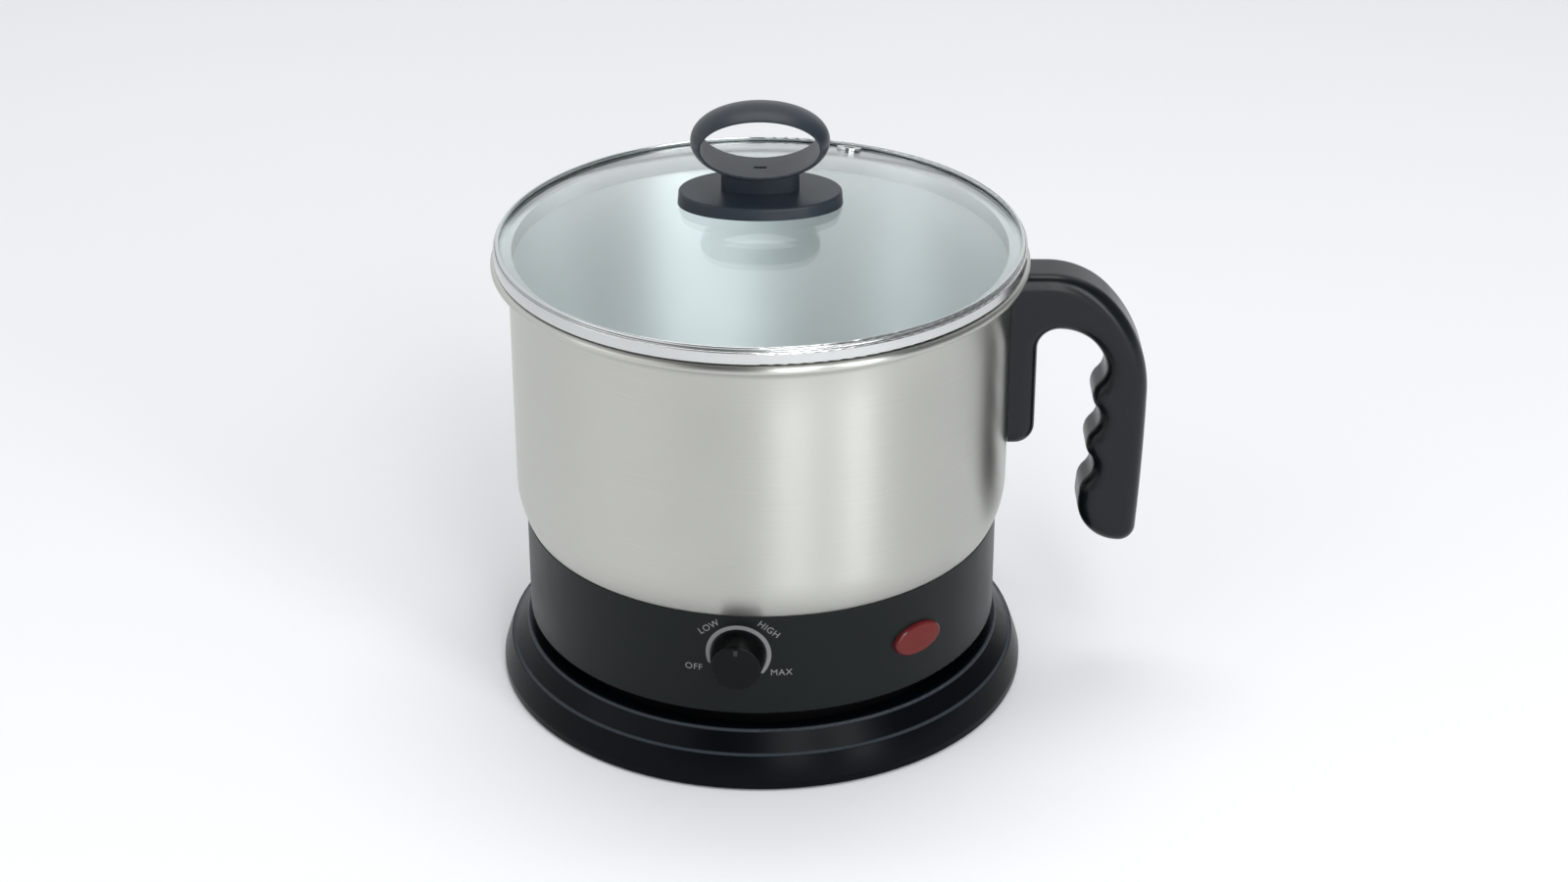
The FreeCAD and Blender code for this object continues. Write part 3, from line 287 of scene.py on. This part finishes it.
# Heater: a cast aluminium plate under the pot's floor, a bent tubular element of darker steel and a
# small fuse in a white ceramic sleeve.
dress("heater_plate", plated_steel("cast_aluminium", (0.55, 0.56, 0.56), (0.72, 0.73, 0.73), 0.45, 500.0))
dress("heater_element", plated_steel("element_steel", (0.16, 0.15, 0.14), (0.32, 0.30, 0.28), 0.42))
dress("thermal_fuse", moulded_plastic("fuse_ceramic", (0.58, 0.56, 0.50), (0.74, 0.72, 0.66), 0.5))
dress("thermostat_body", moulded_plastic("phenolic", (0.045, 0.028, 0.018), (0.085, 0.055, 0.038), 0.5))
dress("lamp_box", moulded_plastic("lamp_box_plastic", (0.5, 0.5, 0.48), (0.62, 0.62, 0.60), 0.5))
dress("neon_lamp", moulded_plastic("neon_glass", (0.72, 0.46, 0.34), (0.85, 0.60, 0.45), 0.12))
lead_sleeve = moulded_rubber("lead_sleeve", (0.52, 0.50, 0.46), (0.68, 0.67, 0.62), 0.6)
for lead in ("pot_leads", "lamp_leads"):
    dress(lead, lead_sleeve)


# Steel pot: drawn stainless with a rolled bead, a straight wall and a turned-in lower edge. The outside is
# brushed round and round in fine lines, so lamps show in it as soft upright bands; the inside is satin. The
# inside walls are painted far paler and the floor somewhat paler than the outside, as painted light that
# stands in for the light filling the pot.
def pen_at(bm, x, z):
    """Starts a profile in the XZ plane."""
    return bm.verts.new((x, 0, z))


def line_to(bm, here, x, z):
    there = bm.verts.new((x, 0, z))
    bm.edges.new((here, there))
    return there


def bend_to(bm, here, x, z, degrees, steps):
    """Draws on round the centre x, z, counter-clockwise with X to the right and Z up."""
    turned = bmesh.ops.spin(bm, geom=[here], cent=(x, 0, z), axis=(0, 1, 0), angle=-math.radians(degrees),
                            steps=steps, use_duplicate=False)
    return [part for part in turned["geom_last"] if isinstance(part, bmesh.types.BMVert)][0]


def spin_profile(bm, steps=256):
    """Turns the drawn profile once round the Z axis and closes it."""
    bmesh.ops.spin(bm, geom=bm.verts[:] + bm.edges[:], cent=(0, 0, 0), axis=(0, 0, 1), angle=math.tau,
                   steps=steps, use_merge=True, use_duplicate=False)
    bmesh.ops.remove_doubles(bm, verts=bm.verts[:], dist=0.000002)
    bmesh.ops.recalc_face_normals(bm, faces=bm.faces[:])


def finished(bm, name, body, material, crease=32.0):
    """Turns the mesh into a piece of the object, smooth but for its creases, and sets it on its body."""
    for face in bm.faces:
        face.smooth = True
    for edge in bm.edges:
        if len(edge.link_faces) == 2 and edge.calc_face_angle() > math.radians(crease):
            edge.smooth = False
    mesh = bpy.data.meshes.new(name)
    bm.to_mesh(mesh)
    bm.free()
    piece = bpy.data.objects.new(name, mesh)
    mesh.materials.append(material)
    bpy.context.scene.collection.objects.link(piece)
    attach(piece, body)
    return piece


def brushed_steel(name, deep, pale, roughness, upright=0.75):
    """Stainless steel brushed round the Z axis: long fine lines in its tone, gloss and height."""
    material = bpy.data.materials.new(name)
    material.use_nodes = True
    tree = material.node_tree
    shader = tree.nodes["Principled BSDF"]
    shader.inputs["Metallic"].default_value = 1.0
    shader.inputs["Anisotropic"].default_value = upright
    shader.inputs["Anisotropic Rotation"].default_value = 0.25
    place = tree.nodes.new("ShaderNodeTexCoord")
    split = tree.nodes.new("ShaderNodeSeparateXYZ")
    angle = tree.nodes.new("ShaderNodeMath")
    angle.operation = "ARCTAN2"
    wrap = tree.nodes.new("ShaderNodeCombineXYZ")
    lines = node_into(tree, "ShaderNodeTexNoise", {"Scale": 1.0, "Detail": 4.0, "Roughness": 0.65})
    stretch = tree.nodes.new("ShaderNodeMapping")
    stretch.inputs["Scale"].default_value = (2.2, 9000.0, 1.0)
    cloud = node_into(tree, "ShaderNodeTexNoise", {"Scale": 26.0, "Detail": 3.0})
    tone = tree.nodes.new("ShaderNodeMix")
    tone.data_type = "RGBA"
    tone.inputs["A"].default_value = (*deep, 1)
    tone.inputs["B"].default_value = (*pale, 1)
    gloss = node_into(tree, "ShaderNodeMapRange", {"From Min": 0.25, "From Max": 0.75,
                                                   "To Min": roughness - 0.05, "To Max": roughness + 0.07})
    blend = tree.nodes.new("ShaderNodeMath")
    blend.operation = "MULTIPLY_ADD"
    blend.inputs[1].default_value = 0.65
    raised = node_into(tree, "ShaderNodeBump", {"Strength": 0.12, "Distance": 0.00002})
    links = tree.links
    links.new(place.outputs["Object"], split.inputs["Vector"])
    links.new(split.outputs["Y"], angle.inputs[0])
    links.new(split.outputs["X"], angle.inputs[1])
    links.new(angle.outputs["Value"], wrap.inputs["X"])
    links.new(split.outputs["Z"], wrap.inputs["Y"])
    links.new(wrap.outputs["Vector"], stretch.inputs["Vector"])
    links.new(stretch.outputs["Vector"], lines.inputs["Vector"])
    links.new(place.outputs["Object"], cloud.inputs["Vector"])
    links.new(lines.outputs["Fac"], blend.inputs[0])
    links.new(cloud.outputs["Fac"], blend.inputs[2])
    links.new(blend.outputs["Value"], gloss.inputs["Value"])
    links.new(lines.outputs["Fac"], tone.inputs["Factor"])
    links.new(lines.outputs["Fac"], raised.inputs["Height"])
    links.new(tone.outputs["Result"], shader.inputs["Base Color"])
    links.new(gloss.outputs["Result"], shader.inputs["Roughness"])
    links.new(raised.outputs["Normal"], shader.inputs["Normal"])
    return material


pot_out_r, pot_wall = 0.0807, 0.0007
pot_rim_z, bead_r, bead_out_r = 0.1485, 0.0016, 0.0846
pot_low_z, pot_turn_in, pot_turn_h = 0.0592, 0.0028, 0.0128
wall_top_z, neck_out, neck_z = 0.1419, 0.0002, 0.1427
bead_start, bead_sweep, mouth_bend = 215, 235, 0.0026
bend_steps, bead_steps, mouth_steps = 10, 22, 8
turn_r = (pot_turn_h ** 2 + pot_turn_in ** 2) / (2 * pot_turn_in)
turn_deg = math.degrees(math.asin(pot_turn_h / turn_r))
corner_r = 0.006
corner_x = pot_out_r - pot_turn_in - corner_r * math.cos(math.radians(turn_deg))
corner_z = pot_low_z + corner_r * math.sin(math.radians(turn_deg))
under_z, halfway = corner_z - corner_r, corner_x * 0.5
inner_r = pot_out_r - pot_wall

pot = bmesh.new()
spot = pen_at(pot, 0.0, under_z)
spot = line_to(pot, spot, halfway, under_z)
spot = line_to(pot, spot, corner_x, under_z)
spot = bend_to(pot, spot, corner_x, corner_z, 90 - turn_deg, bend_steps)
spot = bend_to(pot, spot, pot_out_r - turn_r, pot_low_z + pot_turn_h, turn_deg, bend_steps)
for height in (0.085, 0.1, 0.115, 0.13, wall_top_z):
    spot = line_to(pot, spot, pot_out_r, height)
neck = Vector((bead_out_r + bead_r * math.cos(math.radians(bead_start)), 0,
               pot_rim_z - bead_r + bead_r * math.sin(math.radians(bead_start))))
spot = line_to(pot, spot, pot_out_r + neck_out, neck_z)
spot = line_to(pot, spot, neck.x, neck.z)
spot = bend_to(pot, spot, bead_out_r, pot_rim_z - bead_r, bead_sweep, bead_steps)
spot = line_to(pot, spot, inner_r + mouth_bend, pot_rim_z)
spot = bend_to(pot, spot, inner_r + mouth_bend, pot_rim_z - mouth_bend, 90, mouth_steps)
spot = line_to(pot, spot, inner_r, 0.11)
spot = line_to(pot, spot, inner_r, pot_low_z + pot_turn_h)
spot = bend_to(pot, spot, pot_out_r - turn_r, pot_low_z + pot_turn_h, -turn_deg, bend_steps)
spot = bend_to(pot, spot, corner_x, corner_z, turn_deg - 90, bend_steps)
spot = line_to(pot, spot, halfway, under_z + pot_wall)
spot = line_to(pot, spot, 0.0, under_z + pot_wall)
spin_profile(pot)
outside_steel = brushed_steel("pot_steel", (0.46, 0.455, 0.42), (0.60, 0.60, 0.56), 0.27, 0.83)
# Painted light: the inside and floor copies of the steel are painted paler than the outside, standing in for
# the light inside the pot.
inside_steel = brushed_steel("pot_inside_steel", (0.80, 0.825, 0.83), (0.92, 0.935, 0.94), 0.46, 0.86)
floor_steel = brushed_steel("pot_floor_steel", (0.60, 0.62, 0.63), (0.70, 0.72, 0.73), 0.30, 0.3)
inside_margin = 0.0003
steel_pot = finished(pot, "steel_pot", "pot", outside_steel)
for satin_painted_light in (inside_steel, floor_steel):
    steel_pot.data.materials.append(satin_painted_light)
for face in steel_pot.data.polygons:
    across = Vector((face.center.x, face.center.y, 0))
    inward = face.normal.dot(across.normalized()) < -0.01 or face.normal.z > 0.9
    if inward and across.length < pot_out_r - inside_margin:
        face.material_index = 2 if face.normal.z > 0.95 and across.length < corner_x else 1
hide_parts("pot_shell")


# Lid: a domed disc of clear tempered glass in a polished steel band with a rolled edge and an inner skirt,
# and a steam eyelet. The glass has a faint blue-green cast and lets the lamps through to the pot's inside.
def clear_glass(name, tint):
    material = bpy.data.materials.new(name)
    material.use_nodes = True
    tree = material.node_tree
    shader = tree.nodes["Principled BSDF"]
    shader.inputs["IOR"].default_value = 1.5
    shader.inputs["Transmission Weight"].default_value = 1.0
    place = tree.nodes.new("ShaderNodeTexCoord")
    slow = node_into(tree, "ShaderNodeTexNoise", {"Scale": 22.0, "Detail": 1.0})
    tone = tree.nodes.new("ShaderNodeMix")
    tone.data_type = "RGBA"
    tone.inputs["A"].default_value = (*tint, 1)
    tone.inputs["B"].default_value = (tint[0] * 0.985, tint[1], tint[2] * 0.995, 1)
    gloss = node_into(tree, "ShaderNodeMapRange", {"To Min": 0.0, "To Max": 0.012})
    ray = tree.nodes.new("ShaderNodeLightPath")
    clear = node_into(tree, "ShaderNodeBsdfTransparent", {"Color": (*tint, 1)})
    pane = tree.nodes.new("ShaderNodeMixShader")
    tree.links.new(place.outputs["Object"], slow.inputs["Vector"])
    tree.links.new(slow.outputs["Fac"], tone.inputs["Factor"])
    tree.links.new(slow.outputs["Fac"], gloss.inputs["Value"])
    tree.links.new(tone.outputs["Result"], shader.inputs["Base Color"])
    tree.links.new(gloss.outputs["Result"], shader.inputs["Roughness"])
    tree.links.new(ray.outputs["Is Shadow Ray"], pane.inputs[0])
    tree.links.new(shader.outputs["BSDF"], pane.inputs[1])
    tree.links.new(clear.outputs["BSDF"], pane.inputs[2])
    tree.links.new(pane.outputs["Shader"], tree.nodes["Material Output"].inputs["Surface"])
    return material


def rounded(bm, sharp, width, segments):
    """Rounds every edge that turns by more than the angle, as a mould or a polishing wheel leaves it."""
    keen = [edge for edge in bm.edges
            if len(edge.link_faces) == 2 and edge.calc_face_angle() > math.radians(sharp)]
    bmesh.ops.bevel(bm, geom=keen, offset=width, affect="EDGES", segments=segments, profile=0.5, material=-1)


dome_r, dome_z, glass_thick = 0.26020, -0.09370, 0.003
glass_edge, glass_edge_z, glass_bore, dome_steps = 0.0845, 0.1496, 0.0027, 28
dome_low = math.degrees(math.asin(glass_edge / dome_r))
glass = bmesh.new()
spot = pen_at(glass, glass_bore, dome_z + math.sqrt(dome_r ** 2 - glass_bore ** 2))
dome_high = math.degrees(math.asin(glass_bore / dome_r))
spot = bend_to(glass, spot, 0, dome_z, dome_high - dome_low, dome_steps)
spot = line_to(glass, spot, glass_edge, glass_edge_z)
under_r = dome_r - glass_thick
under_edge = glass_edge * under_r / dome_r
spot = line_to(glass, spot, under_edge, dome_z + math.sqrt(under_r ** 2 - under_edge ** 2))
under_high = math.degrees(math.asin(glass_bore / under_r))
spot = bend_to(glass, spot, 0, dome_z, dome_low - under_high, dome_steps)
first = glass.verts[:][0]
glass.edges.new((spot, first))
spin_profile(glass)
rounded(glass, sharp=25, width=0.0005, segments=3)
lid_pane = finished(glass, "lid_pane", "lid", clear_glass("lid_clear_glass", (0.95, 0.985, 0.985)))
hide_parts("lid_glass")
polished = plated_steel("polished_steel", (0.56, 0.57, 0.57), (0.66, 0.67, 0.66), 0.20, 160.0)
polished.node_tree.nodes["Bump"].inputs["Strength"].default_value = 0.08
dress("lid_band", polished)
dress("vent_eyelet", polished)


# Lid knob: an oval plate and a finger ring on a flat stem, moulded in slate-grey phenolic with a soft
# satin skin. A screw from below holds it through the glass.
slate = moulded_plastic("slate_phenolic", (0.012, 0.017, 0.024), (0.019, 0.026, 0.035), 0.36, spread=0.05,
                        ior=1.40)
dress("knob_plate", slate)
dress("knob_ring", slate)
dress("knob_gasket", moulded_rubber("gasket_silicone", (0.55, 0.55, 0.53), (0.66, 0.66, 0.64), 0.6))
dress("knob_washer", polished)
dress("knob_screw", polished)


# Handle: one hook-shaped moulding in black phenolic, a little glossier than the housing, with three
# finger waves inside the grip.
dress("handle", moulded_plastic("handle_phenolic", (0.0018, 0.0032, 0.0042), (0.0032, 0.0055, 0.0070), 0.26,
                                spread=0.03, ior=1.38))


# Dial: a smooth black knob with a slightly dished face, pressed on its shaft, with a short raised mark at
# the face's top as its pointer. Moulded in the housing's plastic, a little deeper black.
def on_wall(degrees, radius, z):
    """The place on a round wall at an angle from +X, with X to the right, Y up and Z outwards."""
    out = Vector((math.cos(math.radians(degrees)), math.sin(math.radians(degrees)), 0))
    up = Vector((0, 0, 1))
    place = Matrix((up.cross(out), up, out)).transposed().to_4x4()
    place.translation = out * radius + up * z
    return place


dial_deg, dial_z, dial_back = -95.0, 0.0449, 0.0782
dial_r, dial_face_r, dial_h, dial_round = 0.0090, 0.0077, 0.0084, 0.0008
hollow_r, hollow_h = dial_r - 0.0016, 0.0014
knob = bmesh.new()
spot = pen_at(knob, 0.0, hollow_h)
spot = line_to(knob, spot, hollow_r, hollow_h)
spot = line_to(knob, spot, hollow_r, 0.0)
spot = line_to(knob, spot, dial_r, 0.0)
spot = line_to(knob, spot, dial_face_r + 0.0001, dial_h - dial_round)
spot = bend_to(knob, spot, dial_face_r + 0.0001 - dial_round, dial_h - dial_round, 90, 8)
for share, dish in ((0.6, 0.00018), (0.25, 0.00030), (0.0, 0.00032)):
    spot = line_to(knob, spot, dial_face_r * share, dial_h - dish)
spin_profile(knob, 96)
knob.transform(on_wall(dial_deg, dial_back, dial_z))
dial_plastic = moulded_plastic("dial_plastic", (0.0012, 0.0015, 0.0016), (0.0022, 0.0028, 0.0029), 0.26,
                               spread=0.04, ior=1.23)
control_knob = finished(knob, "control_knob", "dial", dial_plastic)
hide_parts("dial_knob")

mark_size, mark_up, mark_sunk = (0.0014, 0.0021, 0.0008, 1), 0.0057, 0.0001
mark = bmesh.new()
bmesh.ops.create_cube(mark, size=1.0, matrix=Matrix.Diagonal(mark_size))
rounded(mark, sharp=40, width=0.00018, segments=3)
mark_place = on_wall(dial_deg, dial_back + dial_h - mark_sunk, dial_z)
mark.transform(mark_place @ Matrix.Translation((0, mark_up, 0)))
mark_gloss = moulded_plastic("mark_gloss", (0.0030, 0.0034, 0.0038), (0.0050, 0.0056, 0.0060), 0.14,
                             spread=0.03)
finished(mark, "dial_mark", "dial", mark_gloss)


# Dial print: a thick open ring from OFF over LOW and HIGH to MAX, pad-printed in pale grey ink on the
# housing's round wall, a few hundredths of a millimetre thick.
print_r, ring_mid, ring_half, ink_thick = 0.0778, 0.00964, 0.00070, 0.00005
ring_from, ring_to, letter_size, letter_gap = 199.5, -39.5, 0.0031, 1.10


def ring_point(degrees, radius):
    return (radius * math.cos(math.radians(degrees)), radius * math.sin(math.radians(degrees)), 0)


ink = bmesh.new()
start_in = ink.verts.new(ring_point(ring_from, ring_mid - ring_half))
start_out = ink.verts.new(ring_point(ring_from, ring_mid + ring_half))
start = ink.edges.new((start_in, start_out))
swept = bmesh.ops.spin(ink, geom=[start_in, start_out, start], cent=(0, 0, 0), axis=(0, 0, 1),
                       angle=math.radians(ring_to - ring_from), steps=72, use_duplicate=False)
last = [part for part in swept["geom_last"] if isinstance(part, bmesh.types.BMVert)]
for pair, at, turn in (((start_in, start_out), ring_from, 180), (last, ring_to, -180)):
    outer = max(pair, key=lambda vert: vert.co.length)
    bmesh.ops.spin(ink, geom=[outer], cent=ring_point(at, ring_mid), axis=(0, 0, 1),
                   angle=math.radians(turn), steps=10, use_duplicate=False)
    bmesh.ops.remove_doubles(ink, verts=ink.verts[:], dist=0.00001)
    middle = Vector(ring_point(at, ring_mid))
    cap = [side for side in ink.edges
           if all((vert.co - middle).length < ring_half * 1.02 for vert in side.verts)]
    bmesh.ops.contextual_create(ink, geom=cap)
for word, x, y, tilt in (("OFF", -0.01435, -0.0060, 0), ("LOW", -0.00930, 0.0091, 35),
                         ("HIGH", 0.00955, 0.0090, -38), ("MAX", 0.01350, -0.0067, 0)):
    letters = bpy.data.curves.new(word, "FONT")
    letters.body = word
    letters.size = letter_size
    letters.space_character = letter_gap
    letters.align_x, letters.align_y = "CENTER", "CENTER"
    sign = bpy.data.objects.new(word, letters)
    flat = bpy.data.meshes.new_from_object(sign)
    flat.transform(Matrix.Translation((x, y, 0)) @ Matrix.Rotation(math.radians(tilt), 4, "Z"))
    ink.from_mesh(flat)
    bpy.data.objects.remove(sign)
bmesh.ops.remove_doubles(ink, verts=ink.verts[:], dist=0.000001)
bmesh.ops.recalc_face_normals(ink, faces=ink.faces[:])
if sum(face.normal.z for face in ink.faces) < 0:
    bmesh.ops.reverse_faces(ink, faces=ink.faces[:])
raised_ink = bmesh.ops.extrude_face_region(ink, geom=ink.faces[:])
bmesh.ops.translate(ink, vec=(0, 0, ink_thick),
                    verts=[part for part in raised_ink["geom"] if isinstance(part, bmesh.types.BMVert)])
for vert in ink.verts:
    vert.co = on_wall(dial_deg + math.degrees(vert.co.x / print_r), print_r + vert.co.z,
                      dial_z + vert.co.y).translation
bmesh.ops.recalc_face_normals(ink, faces=ink.faces[:])
finished(ink, "dial_print", "pot", moulded_plastic(
    "printed_ink", (0.155, 0.158, 0.158), (0.200, 0.204, 0.204), 0.55, grain=5000.0), crease=40)


# Lamp: an oval lens of red acrylic with a rolled edge and a slight crown, clipped into the housing over a
# small neon lamp. It is warm red on its face, and its edge is painted a darker wine red as painted shade
# round the rim.
lens_deg, lens_z, lens_front = -50.3, 0.0405, 0.0794
lens_half_w, lens_half_h, lens_edge = 0.0093, 0.00545, 0.0010
lens_thick, crown_rise, face_from = 0.0021, 0.0002, 0.0020

bulb = bmesh.new()
oval = Matrix.Diagonal((lens_half_w, lens_half_h, 1, 1))
bmesh.ops.create_circle(bulb, cap_ends=True, segments=72, radius=1.0, matrix=oval)
lifted = bmesh.ops.extrude_face_region(bulb, geom=bulb.faces[:])
crown = [part for part in lifted["geom"] if isinstance(part, bmesh.types.BMFace)]
bmesh.ops.translate(bulb, vec=(0, 0, lens_thick), verts=crown[0].verts[:])
rim = crown[0].edges[:]
bmesh.ops.bevel(bulb, geom=rim, offset=lens_edge, affect="EDGES", segments=6, profile=0.5, material=-1)
bulb.faces.ensure_lookup_table()
crown = max(bulb.faces, key=lambda face: face.calc_center_median().z)
for share, rise in ((0.92, 0.00008), (0.84, 0.00006), (0.72, 0.00005), (0.52, 0.00003)):
    grown = bmesh.ops.extrude_face_region(bulb, geom=[crown])
    crown = [part for part in grown["geom"] if isinstance(part, bmesh.types.BMFace)][0]
    bmesh.ops.scale(bulb, vec=(share, share, 1), verts=crown.verts[:])
    bmesh.ops.translate(bulb, vec=(0, 0, rise), verts=crown.verts[:])
bmesh.ops.recalc_face_normals(bulb, faces=bulb.faces[:])
for face in bulb.faces:
    face.material_index = 0 if face.calc_center_median().z > face_from else 1
bulb.transform(on_wall(lens_deg, lens_front - lens_thick - crown_rise, lens_z))
lamp_lens = finished(bulb, "lamp_lens_red", "pot", moulded_plastic(
    "lens_red", (0.085, 0.010, 0.009), (0.14, 0.018, 0.016), 0.16, grain=500.0, depth=0.000006, spread=0.03,
    ior=1.26), crease=50)
# Painted shade: the lens's edge gets a darker copy of its red, standing in for the shade round the rim.
lamp_lens.data.materials.append(moulded_plastic(
    "lens_red_shaded_edge", (0.075, 0.006, 0.008), (0.11, 0.010, 0.012), 0.14, grain=500.0, depth=0.000006,
    spread=0.03, ior=1.42))
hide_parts("lamp_lens")
